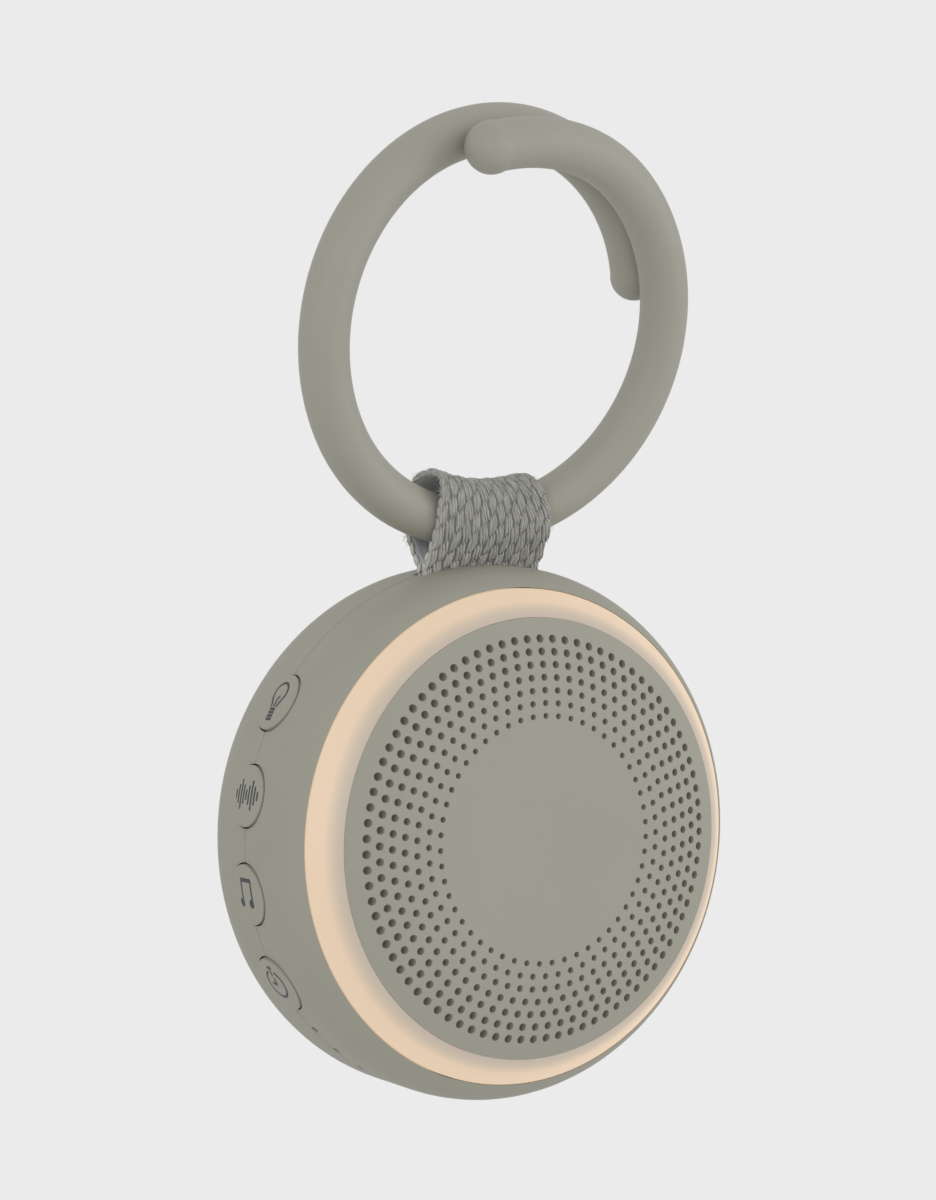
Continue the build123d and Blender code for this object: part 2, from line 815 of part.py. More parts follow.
for name, angle in zip(button_names, button_angles):
    parts[name + "_button"] = button(angle)
    parts[name + "_plunger"] = plunger(angle)

crown = ring_lean * Pos(0, ring_pitch / 2, 2 * ring_radius - ring_wire)
hang_point = crown.position
print("hang point", hang_point)
os.makedirs("parts", exist_ok=True)
for name, solids in parts.items():
    export_step(placed(solids, hang_point), f"parts/{name}.step")
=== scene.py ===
# %% [markdown]
# # A musical night light
# The object is a palm-sized round speaker with a glowing ring round its grille. It hangs from a springy split
# ring by a loop of webbing, and four push buttons sit on its left edge. The CAD frame already holds every rigid
# piece at its true size, so this lesson adds what CAD can't show: finishes, the woven strap and the printed signs.

# %% Load the frame
import math
import random

import bmesh
import bpy
from mathutils import Matrix, Vector, noise


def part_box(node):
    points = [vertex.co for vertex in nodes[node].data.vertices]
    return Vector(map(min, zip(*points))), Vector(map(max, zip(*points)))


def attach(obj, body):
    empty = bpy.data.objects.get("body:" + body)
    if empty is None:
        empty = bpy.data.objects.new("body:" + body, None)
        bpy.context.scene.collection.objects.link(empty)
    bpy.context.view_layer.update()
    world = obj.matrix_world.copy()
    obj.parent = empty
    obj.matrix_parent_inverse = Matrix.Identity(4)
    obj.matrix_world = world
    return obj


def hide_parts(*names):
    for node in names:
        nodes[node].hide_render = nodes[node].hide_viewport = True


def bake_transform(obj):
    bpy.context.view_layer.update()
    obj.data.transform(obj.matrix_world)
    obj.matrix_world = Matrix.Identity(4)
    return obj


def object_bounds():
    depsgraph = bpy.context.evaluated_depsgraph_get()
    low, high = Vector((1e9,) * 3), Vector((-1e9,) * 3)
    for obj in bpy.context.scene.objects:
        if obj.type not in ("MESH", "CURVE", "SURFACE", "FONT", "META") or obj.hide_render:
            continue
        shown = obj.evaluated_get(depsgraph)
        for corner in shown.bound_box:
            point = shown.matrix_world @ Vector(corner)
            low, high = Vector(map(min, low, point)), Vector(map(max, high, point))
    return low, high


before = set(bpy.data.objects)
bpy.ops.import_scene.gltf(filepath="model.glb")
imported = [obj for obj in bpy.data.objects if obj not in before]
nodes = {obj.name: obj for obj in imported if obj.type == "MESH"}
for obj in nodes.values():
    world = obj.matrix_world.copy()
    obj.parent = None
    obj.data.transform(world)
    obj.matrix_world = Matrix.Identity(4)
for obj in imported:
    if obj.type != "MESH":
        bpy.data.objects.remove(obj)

mm = 0.001
cad_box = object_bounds()

# %% [markdown]
# ## Where the body is
# The frame's origin is the hang point, so the body's own axis has to be found. The shell is round, so the middle
# of its box gives the axis, and the flat back is a known distance behind the parting line between its halves.

# %% Find the body's axis
back_depth = 20.1 * mm
shell_low, shell_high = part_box("rear_housing")
body_centre = Vector(((shell_low.x + shell_high.x) / 2,
                      shell_high.y - back_depth,
                      (shell_low.z + shell_high.z) / 2))
body_radius = (shell_high.x - shell_low.x) / 2
print("body axis at", [round(v / mm, 2) for v in body_centre], "radius", round(body_radius / mm, 2))

# %% [markdown]
# ## Camera
# A photograph's viewpoint can be solved from its circles: the grille's rings of holes turn into ellipses whose
# shape gives the turn, and their spacing gives the distance. The result is written as the turn, the height of the
# view, the focal length in pixels and the pixel where the middle of the grille lies.

# %% Place the camera
image_size = (936, 1200)
camera_turn = -32.466
camera_rise = 0.8
focal_pixels = 2541.7
grille_pixel = (540.6, 838.9)
grille_distance = 423.6 * mm
grille_plane = 18.7 * mm
sensor = 36.0

turn, rise = math.radians(camera_turn), math.radians(camera_rise)
back = Vector((math.sin(turn) * math.cos(rise), -math.cos(turn) * math.cos(rise), math.sin(rise)))
right = Vector((math.cos(turn), math.sin(turn), 0))
up = back.cross(right)
off_right = (grille_pixel[0] - image_size[0] / 2) * grille_distance / focal_pixels
off_down = (grille_pixel[1] - image_size[1] / 2) * grille_distance / focal_pixels
grille_point = body_centre + Vector((0, -grille_plane, 0))

camera_data = bpy.data.cameras.new("camera")
camera_data.sensor_fit = "VERTICAL"
camera_data.sensor_height = sensor
camera_data.lens = sensor * focal_pixels / image_size[1]
camera_data.clip_start = 10 * mm
camera = bpy.data.objects.new("camera", camera_data)
place = Matrix((right, up, back)).transposed().to_4x4()
place.translation = grille_point - off_right * right + off_down * up + grille_distance * back
camera.matrix_world = place
bpy.context.scene.collection.objects.link(camera)
bpy.context.scene.camera = camera
bpy.context.scene.view_settings.view_transform = "Standard"
print("camera", round(camera_data.lens, 1), "mm lens, at", [round(v / mm) for v in place.translation])

# %% [markdown]
# ## Helpers for finishes
# Colours are read off the object as sRGB hex values, but shaders count in linear light, so one function converts
# them. Another small one adds a node, sets what is fixed on it and links what is not.

# %% Colour and node helpers
def linear(hex_colour, alpha=1.0):
    """Linear RGBA of an sRGB hex colour."""
    shares = [int(hex_colour[i:i + 2], 16) / 255 for i in (1, 3, 5)]
    return [s / 12.92 if s <= 0.04045 else ((s + 0.055) / 1.055) ** 2.4 for s in shares] + [alpha]


def add(tree, kind, inputs=None, **settings):
    """Adds a node: settings are its options, and inputs are values or sockets to link."""
    made = tree.nodes.new(kind)
    for name, value in settings.items():
        setattr(made, name, value)
    for key, value in (inputs or {}).items():
        if isinstance(value, bpy.types.NodeSocket):
            tree.links.new(value, made.inputs[key])
        else:
            made.inputs[key].default_value = value
    return made


def new_finish(name, **values):
    """A material with its node tree and shader, with the shader's fixed values set on its own sockets."""
    finish = bpy.data.materials.new(name)
    finish.use_nodes = True
    shader = finish.node_tree.nodes["Principled BSDF"]
    for key, value in values.items():
        shader.inputs[key.replace("_", " ")].default_value = value
    return finish, finish.node_tree, shader


def wear(finish, *names):
    """Gives a finish to CAD nodes by name."""
    for name in names:
        nodes[name].data.materials.clear()
        nodes[name].data.materials.append(finish)


print("helpers ready")

# %% [markdown]
# ## Moulded plastic
# The shell, grille and buttons are injection-moulded ABS in one grey-green taupe, and the springy ring is moulded
# polypropylene in the same shade. The mould was etched by sparks, which leaves a fine even grain that scatters light
# and makes the surface matt. Noise at the size of the grain drives a small bump and a little unevenness in the
# gloss, and a broad faint noise stands for handling.

# %% Make the moulded plastics
def moulded(name, colour, shade, grain, depth, roughness, cloud=14 * mm, neck=None):
    """Etched, moulded plastic: grain and depth size its dimples, and neck is the radius of an edge left soft."""
    finish, tree, shader = new_finish(name, IOR=1.53, Roughness=roughness)
    place = add(tree, "ShaderNodeTexCoord").outputs["Object"]
    dimples = add(tree, "ShaderNodeTexNoise", {"Vector": place, "Scale": 1 / grain, "Detail": 2.0})
    clouds = add(tree, "ShaderNodeTexNoise", {"Vector": place, "Scale": 1 / cloud, "Detail": 3.0})
    tone = add(tree, "ShaderNodeMix", {"Factor": clouds.outputs["Fac"], "A": linear(shade), "B": linear(colour)},
               data_type="RGBA")
    gloss = add(tree, "ShaderNodeMapRange", {"Value": dimples.outputs["Fac"], "To Min": roughness - 0.08,
                                             "To Max": roughness + 0.08})
    bump = add(tree, "ShaderNodeBump", {"Height": dimples.outputs["Fac"], "Distance": depth, "Strength": 0.5})
    if neck:
        soft = add(tree, "ShaderNodeBevel", {"Radius": neck}, samples=8)
        tree.links.new(soft.outputs["Normal"], bump.inputs["Normal"])
    tree.links.new(tone.outputs["Result"], shader.inputs["Base Color"])
    tree.links.new(gloss.outputs["Result"], shader.inputs["Roughness"])
    tree.links.new(bump.outputs["Normal"], shader.inputs["Normal"])
    return finish


buttons = ("light", "sound", "music", "timer")
# Etched ABS: matt and even, with a soft edge to every highlight. A real etch has a grain of about 0.1 mm, which is
# too fine to show, so it is drawn a few times coarser here and on the other mouldings.
shell_finish = moulded("abs_moulded_etched", "#9F9D90", "#9A988B", 0.45 * mm, 0.03 * mm, 0.62)
# Satin polypropylene: a little glossier and waxy, with no hard edge where the ball grows out of the wire.
ring_finish = moulded("polypropylene_moulded_satin", "#A09E92", "#9B998D", 0.6 * mm, 0.03 * mm, 0.55,
                      neck=1.5 * mm)
# Black ABS for what is inside: it swallows light, so nothing shows through the gaps.
dark_finish = moulded("abs_moulded_black", "#1B1B1B", "#161616", 0.5 * mm, 0.02 * mm, 0.5)
# White ABS round the lamps: it throws their light forward and keeps the gap beside the grille pale.
white_finish = moulded("abs_moulded_white", "#DDD8CC", "#D4CFC3", 0.5 * mm, 0.02 * mm, 0.6)
wear(shell_finish, "front_housing", "rear_housing")
wear(shell_finish, *[name + "_button" for name in buttons])
wear(ring_finish, "hanging_ring")
wear(dark_finish, "switch_bodies", *[name + "_plunger" for name in buttons])
wear(white_finish, "inner_frame")
print("moulded finishes made")

# %% [markdown]
# ## The grille's holes
# The grille is the same plastic with black cloth glued behind it, so a hole shows its own wall and the cloth.
# The holes' walls are painted a shade browner than the etched face, painted light and shade inside the holes. The
# face is a flat disc that runs into a dome, so a point's depth below that face tells a hole's wall from the face.
# The walls and the cloth also get a faint glow, painted light, so they are never quite black.

# %% Paint light and shade on the holes' walls
# Etched ABS again: the face is as matt as the shell, and the holes' walls get a browner painted shade and a faint
# painted glow.
grille_finish = moulded("abs_moulded_etched_grille", "#9F9D90", "#9A988B", 0.45 * mm, 0.03 * mm, 0.62)
grille_low, grille_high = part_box("grille_cover")
grille_radius = (grille_high.x - grille_low.x) / 2
grille_flat = grille_radius - 16.9 * mm
dome_radius = 50.7 * mm
rim_width = 1.0 * mm
wall_start, wall_full = 0.05 * mm, 0.3 * mm


def from_axis(tree):
    """A point's place from the body's centre, and its distance from the body's axis."""
    place = add(tree, "ShaderNodeTexCoord").outputs["Object"]
    local = add(tree, "ShaderNodeVectorMath", {0: place, 1: body_centre}, operation="SUBTRACT")
    flat = add(tree, "ShaderNodeVectorMath", {0: local.outputs["Vector"], 1: (1, 0, 1)}, operation="MULTIPLY")
    length = add(tree, "ShaderNodeVectorMath", {0: flat.outputs["Vector"]}, operation="LENGTH")
    return local.outputs["Vector"], length.outputs["Value"]


tree = grille_finish.node_tree
local, radius = from_axis(tree)
value = radius
for operation, number in (("SUBTRACT", grille_flat), ("MAXIMUM", 0.0), ("POWER", 2.0), ("MULTIPLY", -1.0),
                          ("ADD", dome_radius ** 2), ("SQRT", 0.0)):
    value = add(tree, "ShaderNodeMath", {0: value, 1: number}, operation=operation).outputs["Value"]
forward = add(tree, "ShaderNodeSeparateXYZ", {"Vector": local}).outputs["Y"]
depth = add(tree, "ShaderNodeMath", {0: forward, 1: value}, operation="ADD").outputs["Value"]
face = grille_low.y - body_centre.y + dome_radius
walls = add(tree, "ShaderNodeMapRange", {"Value": depth, "From Min": face + wall_start,
                                         "From Max": face + wall_full})
inside = add(tree, "ShaderNodeMath", {0: radius, 1: grille_radius - rim_width}, operation="LESS_THAN")
share = add(tree, "ShaderNodeMath", {0: walls.outputs["Result"], 1: inside.outputs["Value"]}, operation="MULTIPLY")
shader = tree.nodes["Principled BSDF"]
tone = shader.inputs["Base Color"].links[0].from_socket
# painted light and shade: the holes' walls get a browner tone and a faint glow, though nothing there is a lamp
painted_wall_tone = add(tree, "ShaderNodeMix", {"Factor": share.outputs["Value"], "A": tone, "B": linear("#9B9687")},
            data_type="RGBA")
tree.links.new(painted_wall_tone.outputs["Result"], shader.inputs["Base Color"])
painted_wall_glow = add(tree, "ShaderNodeMix", {"Factor": share.outputs["Value"], "A": linear("#000000"),
                                    "B": linear("#262521")}, data_type="RGBA")
tree.links.new(painted_wall_glow.outputs["Result"], shader.inputs["Emission Color"])
shader.inputs["Emission Strength"].default_value = 1.0
wear(grille_finish, "grille_cover")
print("grille finish made, face at", round((face - dome_radius) / mm, 2), "mm")

# %% [markdown]
# ## The glowing ring
# The ring is frosted polycarbonate over a circle of warm lamps. Frosting spreads their light so that no lamp
# shows, but less of it reaches the edge beside the grille, where the glow falls off to grey. The radius from the
# body's axis drives both the colour and the strength of the glow.

# %% Make the lit plastic
glow_inner = 37.0 * mm
glow_outer = 41.8 * mm

# Frosted polycarbonate, lit: an even warm glow with no bright spots and a soft sheen over it.
light_finish, tree, shader = new_finish("polycarbonate_frosted_lit", IOR=1.58, Roughness=0.45,
                                        Emission_Strength=1.0)
radius = from_axis(tree)[1]
share = add(tree, "ShaderNodeMapRange", {"Value": radius, "From Min": glow_inner,
                                         "From Max": glow_outer}).outputs["Result"]
colour_ramp = add(tree, "ShaderNodeValToRGB", {"Fac": share})
glow_ramp = add(tree, "ShaderNodeValToRGB", {"Fac": share})
for ramp, stops in ((colour_ramp, ((0.0, "#8E867C"), (0.25, "#8D8377"), (0.55, "#8C7E6F"), (1.0, "#8C7E6F"))),
                    (glow_ramp, ((0.0, "#8C8074"), (0.25, "#9C8E7D"), (0.55, "#BFA990"), (1.0, "#C3AC92")))):
    ramp.color_ramp.elements.remove(ramp.color_ramp.elements[0])
    ramp.color_ramp.elements[0].position = stops[0][0]
    ramp.color_ramp.elements[0].color = linear(stops[0][1])
    for position, colour in stops[1:]:
        ramp.color_ramp.elements.new(position).color = linear(colour)
tree.links.new(colour_ramp.outputs["Color"], shader.inputs["Base Color"])
tree.links.new(glow_ramp.outputs["Color"], shader.inputs["Emission Color"])
wear(light_finish, "light_ring")
print("lit ring finish made")

# %% [markdown]
# ## Inner and small finishes
# What lies inside barely shows, but each piece still gets the finish of its real material: black cloth behind the
# holes, a green board, tinned steel, copper and foam. One table gives their colours, and small noise breaks them
# up. The cloth is also given a faint glow, painted light that lifts it out of the holes' shade.

# %% Make the inner finishes
inner_finishes = {
    # thin knit cloth, quite dull
    "polyester_cloth_black": ("#333333", 0.95, 0.0, 0.4 * mm, ("grille_cloth",)),
    # bright and a little clouded
    "steel_drawn_tinned": ("#B9B9B6", 0.32, 1.0, 0.3 * mm, ("charging_socket",)),
    # grey metal with a soft shine
    "steel_rolled_zinc": ("#8F9091", 0.4, 1.0, 0.4 * mm, ("case_screws", "strap_anchor_pin")),
    # black lacquer with dull gleams
    "steel_pressed_black": ("#202020", 0.5, 0.0, 0.6 * mm, ("speaker_basket", "speaker_yoke")),
    # dark grey and stony
    "ferrite_sintered": ("#3A3A3B", 0.7, 0.0, 0.5 * mm, ("speaker_magnet",)),
    # fibrous and without any shine
    "paper_pressed_black": ("#1D1C1B", 0.9, 0.0, 0.7 * mm, ("speaker_cone", "dust_cap")),
    # warm metal under clear lacquer
    "copper_wire_enamelled": ("#A4552B", 0.35, 1.0, 0.2 * mm, ("voice_coil",)),
    # deep black with a blurred shine
    "rubber_moulded_black": ("#171717", 0.7, 0.0, 0.5 * mm, ("speaker_surround",)),
    # soft black, full of fine pores
    "foam_closed_cell": ("#262625", 0.95, 0.0, 0.3 * mm, ("speaker_gasket", "battery_tape")),
    # smooth green lacquer
    "laminate_solder_mask": ("#1E5A35", 0.35, 0.0, 0.5 * mm, ("main_board", "lamp_board")),
    # fine matt black
    "epoxy_moulded_black": ("#161616", 0.5, 0.0, 0.3 * mm, ("board_chips",)),
    # glassy yellow drops
    "resin_cast_yellow": ("#E8CF8A", 0.25, 0.0, 0.4 * mm, ("lamps",)),
    # creased silver foil
    "pouch_laminated_silver": ("#B8BABC", 0.35, 1.0, 2.0 * mm, ("battery_cell",)),
    # smooth dark windows
    "acrylic_smoked": ("#3B3A37", 0.3, 0.0, 0.4 * mm, ("indicator_pipes",)),
}
for name, (colour, roughness, metallic, grain, wearers) in inner_finishes.items():
    finish, tree, shader = new_finish(name, Roughness=roughness, Metallic=metallic, Base_Color=linear(colour))
    place = add(tree, "ShaderNodeTexCoord").outputs["Object"]
    specks = add(tree, "ShaderNodeTexNoise", {"Vector": place, "Scale": 1 / grain, "Detail": 2.0})
    gloss = add(tree, "ShaderNodeMapRange", {"Value": specks.outputs["Fac"], "To Min": roughness * 0.85,
                                             "To Max": roughness * 1.15})
    bump = add(tree, "ShaderNodeBump", {"Height": specks.outputs["Fac"], "Distance": grain / 20, "Strength": 0.5})
    tree.links.new(gloss.outputs["Result"], shader.inputs["Roughness"])
    tree.links.new(bump.outputs["Normal"], shader.inputs["Normal"])
    wear(finish, *wearers)

# painted light: the cloth glows faintly so that the holes never go black
cloth_shader = nodes["grille_cloth"].data.materials[0].node_tree.nodes["Principled BSDF"]
cloth_shader.inputs["Emission Color"].default_value = linear("#403F3E")
cloth_shader.inputs["Emission Strength"].default_value = 1.0
print(len(inner_finishes), "inner finishes made")

# %% [markdown]
# ## The webbing strap
# The strap is narrow woven webbing of soft polyester yarn. It comes out of a slot, wraps the ring's wire and goes
# back in, and a pin inside holds its sewn end. Cloth could be simulated, but a band that is pulled tight has a
# known path, so the webbing is laid out flat first and then bent along a smooth curve, as a weaver would make it.

# %% Draw the strap's path
strap_width = 24 * mm
wire_centre = body_centre + Vector((0, 0, 53 * mm))
ring_radius = 33.3 * mm
ring_middle = -2.45 * mm  # the ring hangs a little to the left
ring_lean = math.radians(18.1)
corner_lift = 1.45 * mm  # how far the wire lifts the band's corners
corner_tip = 0.17  # more on the left
corner_draw = 0.75  # how strongly the wire's curve draws the top together
swing_room = 1.25 * mm  # slack at the back's corners
swing_skew = 0.6  # more on the right
side_draw = 0.055  # how much narrower the right half is
grip_draw = 0.07  # and how much more where the wire grips it
# places on the path as (y, z), in millimetres from the middle of the wire
hidden_points = [(-2.2, -15.2), (-1.2, -12.2), (-0.85, -9.6)]
front_points = [(-0.9, -7.6), (-2.1, -5.8), (-4.5, -2.6), (-5.2, 0.5), (-5.05, 3.2), (-4.1, 5.4), (-2.2, 6.5)]
back_points = [(2.3, 6.5), (4.3, 5.4), (5.2, 3.2), (5.35, 0.5), (4.9, -2.6), (2.6, -5.8), (1.0, -7.6)]
path_points = ([(0, -17.2)] + hidden_points + front_points + [(0, 6.8)] + back_points
               + [(-y, z) for y, z in reversed(hidden_points)] + [(0, -17.2)])


def mesh_of(curve):
    """The mesh of a curve as it is drawn, with its bevel."""
    holder = bpy.data.objects.new(curve.name, curve)
    mesh = bpy.data.meshes.new_from_object(holder)
    bpy.data.objects.remove(holder)
    return mesh


path_curve = bpy.data.curves.new("strap_path", "CURVE")
path_curve.dimensions = "3D"
path_curve.resolution_u = 16
path_spline = path_curve.splines.new("BEZIER")
path_spline.bezier_points.add(len(path_points) - 1)
for knot, (y, z) in zip(path_spline.bezier_points, path_points):
    knot.co = Vector((0, y, z)) * mm
    knot.handle_left_type = knot.handle_right_type = "AUTO"
path = [vertex.co.copy() for vertex in mesh_of(path_curve).vertices]
run = [0.0]
for start, end in zip(path, path[1:]):
    run.append(run[-1] + (end - start).length)
strap_length = run[-1]
print("strap is", round(strap_length / mm, 1), "mm long when it is cut")

# %% [markdown]
# ### Bending the flat webbing
# A flat point has a place across the band, one along it and a height above it. Along the path, height follows the
# path's own normal. The wire curves upward on both sides, so the band's corners ride up and forward with it, and
# its top is drawn together because its edges stay square to the wire. At the back the corners stand off a little,
# which is the slack that lets the body swing.

# %% Bend a flat mesh along the path
grip_start, grip_span = 7.5 * mm, 6 * mm  # how far under the wire the grip begins, and over what height it grows
room_span = 5 * mm


def eased(share):
    """Smooth step from 0 to 1."""
    held = min(max(share, 0.0), 1.0)
    return held * held * (3 - 2 * held)


def bend_along_path(mesh):
    """Keeps each vertex's flat place in an attribute, then moves it to the strap's path."""
    flat = mesh.attributes.new("flat_place", "FLOAT_VECTOR", "POINT")
    step = 0
    for vertex in sorted(mesh.vertices, key=lambda v: v.co.y):
        across, along, height = vertex.co
        flat.data[vertex.index].vector = vertex.co
        while step < len(run) - 2 and run[step + 1] < along:
            step += 1
        share = (along - run[step]) / (run[step + 1] - run[step])
        before, after = path[max(step - 1, 0)], path[min(step + 2, len(path) - 1)]
        heading = (path[step + 1] - before).lerp(after - path[step], min(max(share, 0.0), 1.0)).normalized()
        outside = Vector((0, -heading.z, heading.y))
        spot = path[step].lerp(path[step + 1], share) + outside * height
        gripped = eased((spot.z + grip_start) / grip_span)
        rise = ring_radius - math.sqrt(ring_radius ** 2 - (across - ring_middle) ** 2)
        side = 2 * across / strap_width
        lift = corner_lift * side ** 2 * (1 - corner_tip * side)
        room = swing_room * side ** 2 * (1 + swing_skew * side) * eased(spot.y / room_span)
        vertex.co = wire_centre + spot + gripped * Vector((0, room - rise * math.sin(ring_lean), lift))
        drawn = corner_draw * max(spot.z, 0.0) * (across - ring_middle) / ring_radius
        vertex.co.x = body_centre.x + across - drawn - (side_draw + grip_draw * gripped) * max(across, 0.0)


print("bending helper ready")

# %% [markdown]
# ### Weaving it
# A thin core stands for the weft and shows its plain face inside the loop. Outside lie the warp yarns, bundles of
# three thin strands which surface for about three millimetres and dive again, each column half a float behind its
# neighbour, and short stitches close both edges. One row of small rounded floats is copied along the band, and
# smooth noise shifts them a little because soft yarn never lies quite straight.

# %% Weave the core and the floats
core_thickness = 0.7 * mm
yarn_columns = 14
float_length = 3.4 * mm
yarn_width = strap_width / yarn_columns
yarn_leans = (math.radians(3), math.radians(13))
strand_width = yarn_width / 3
strand_spacing = 0.76 * strand_width
strand_stagger = 0.12 * float_length
strand_sink = 0.1 * mm
strand_half_sizes = (0.5 * strand_width, 0.58 * float_length, 0.46 * mm)
stitch_half_sizes = (0.7 * strand_width, 0.34 * float_length, 0.5 * mm)
yarn_height = core_thickness / 2 + 0.08 * mm
sway_size = 1.1 * mm
sway_reach = 0.24 * mm
sway_lift = 0.3
noise.seed_set(7)  # otherwise the noise starts from the clock

core = bmesh.new()
bmesh.ops.create_grid(core, x_segments=24, y_segments=110, size=0.5)
bmesh.ops.scale(core, vec=(strap_width - 2 * strand_width, strap_length, 1), verts=core.verts)
bmesh.ops.translate(core, vec=(0, strap_length / 2, -core_thickness / 2), verts=core.verts)
bmesh.ops.solidify(core, geom=core.faces[:], thickness=-core_thickness)
bmesh.ops.recalc_face_normals(core, faces=core.faces)

rows = int(strap_length / float_length)
one_row = bmesh.new()
floats = []
for column in range(yarn_columns):
    for strand in (-1, 0, 1):
        across = (column + 0.5 - yarn_columns / 2) * yarn_width + strand * strand_spacing
        along = 0.5 * (column % 2) * float_length + strand * strand_stagger
        floats.append(((across, along, yarn_height - strand_sink * abs(strand)), yarn_leans[column % 2],
                       strand_half_sizes))
for side in (-1, 1):
    for half in (0.0, 0.5):
        edge = side * (strand_width - strap_width) / 2
        floats.append(((edge, half * float_length, 0), side * yarn_leans[1], stitch_half_sizes))
for place, lean, half_sizes in floats:
    shape = Matrix.Translation(place) @ Matrix.Rotation(lean, 4, "Z") @ Matrix.Diagonal((*half_sizes, 1))
    bmesh.ops.create_uvsphere(one_row, u_segments=8, v_segments=5, radius=1, matrix=shape)
row_mesh = bpy.data.meshes.new("yarn_row")
one_row.to_mesh(row_mesh)
one_row.free()

yarns = bmesh.new()
for row in range(rows):
    yarns.from_mesh(row_mesh)
    row_mesh.transform(Matrix.Translation((0, strap_length / rows, 0)))
bmesh.ops.translate(yarns, vec=(0, strap_length / rows / 2, 0), verts=yarns.verts)
for vertex in yarns.verts:
    sway = noise.noise_vector(vertex.co / sway_size) * sway_reach
    vertex.co += Vector((sway.x, sway.y, sway_lift * sway.z))
    vertex.co.y = min(max(vertex.co.y, 0.0), strap_length)
bpy.data.meshes.remove(row_mesh)
print("woven from", len(floats) * rows, "floats")

# %% [markdown]
# ### Hanging it in the slot
# The strap is held by the shell and turns with the loop, so it has to bend just above the slot. Each piece here is
# laid along the bent path and shaded smooth.


def strap_piece(name, shape):
    """Makes a bent, smooth object from a flat shape and links it to the scene."""
    mesh = bpy.data.meshes.new(name)
    shape.to_mesh(mesh)
    shape.free()
    bend_along_path(mesh)
    mesh.polygons.foreach_set("use_smooth", [True] * len(mesh.polygons))
    piece = bpy.data.objects.new(name, mesh)
    bpy.context.scene.collection.objects.link(piece)
    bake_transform(piece)
    return piece


strap_core = strap_piece("strap_core", core)
strap_yarns = strap_piece("strap_yarns", yarns)
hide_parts("strap_loop", "strap_tail")
print("strap_core has", len(strap_core.data.polygons), "faces, strap_yarns", len(strap_yarns.data.polygons))

# %% [markdown]
# ### Loose fibres
# Spun yarn sheds short fibres, which blur the strap's edge and its top. Hair particles could do this, but they
# don't export, so each fibre is a thin curve with a small bevel, laid flat like the yarns and bent with them.

# %% Scatter the loose fibres
random.seed(11)
fibre_count = 420
fibre_thickness = 0.05 * mm
fibre_step = 0.45 * mm
fuzz_curve = bpy.data.curves.new("fuzz_drawn", "CURVE")
fuzz_curve.dimensions = "3D"
fuzz_curve.bevel_depth = fibre_thickness / 2
fuzz_curve.bevel_resolution = 0
for index in range(fibre_count):
    at_edge = index % 3 == 0
    across = random.choice((-1, 1)) * 0.49 if at_edge else random.uniform(-0.48, 0.48)
    root = Vector((across * strap_width, random.uniform(0.26, 0.74) * strap_length, 0.5 * yarn_height))
    aim = Vector((random.uniform(-0.5, 0.5), random.uniform(-1.0, 1.0), random.uniform(0.2, 0.6)))
    if at_edge:
        aim.x = math.copysign(random.uniform(0.3, 0.8), across)
        root.z *= random.uniform(-1.0, 1.0)
    curl = Vector((random.uniform(-0.4, 0.4), random.uniform(-0.4, 0.4), -0.3))
    fibre = fuzz_curve.splines.new("POLY")
    fibre.points.add(3)
    for step, point in enumerate(fibre.points):
        spot = root + (aim * step + curl * (step * step / 4)) * fibre_step
        point.co = (*spot, 1)
fuzz = bmesh.new()
fuzz.from_mesh(mesh_of(fuzz_curve))
strap_fuzz = strap_piece("strap_fuzz", fuzz)
print("scattered", fibre_count, "fibres")

# %% [markdown]
# ### Yarn
# Spun polyester is a bundle of fine fibres, so it looks soft and dull with thin streaks along it. The streaks are
# noise stretched along the band, on the flat place that each vertex kept, and sheen stands for the loose fibres.
# Near the slot the yarn is painted paler: painted light on the low part of the band, where it turns in to the slot.

# %% Make the yarn finish
fibre_width = 0.3 * mm  # a spun fibre bundle, drawn coarse enough to show
fibre_stretch = 0.12
# painted light: where the yarn starts to be painted paler towards the slot, and by how much
slot_light_start, slot_light_end = 13.5 * mm, 18.5 * mm  # from the top of the loop, along the band
slot_light_gain = 1.42


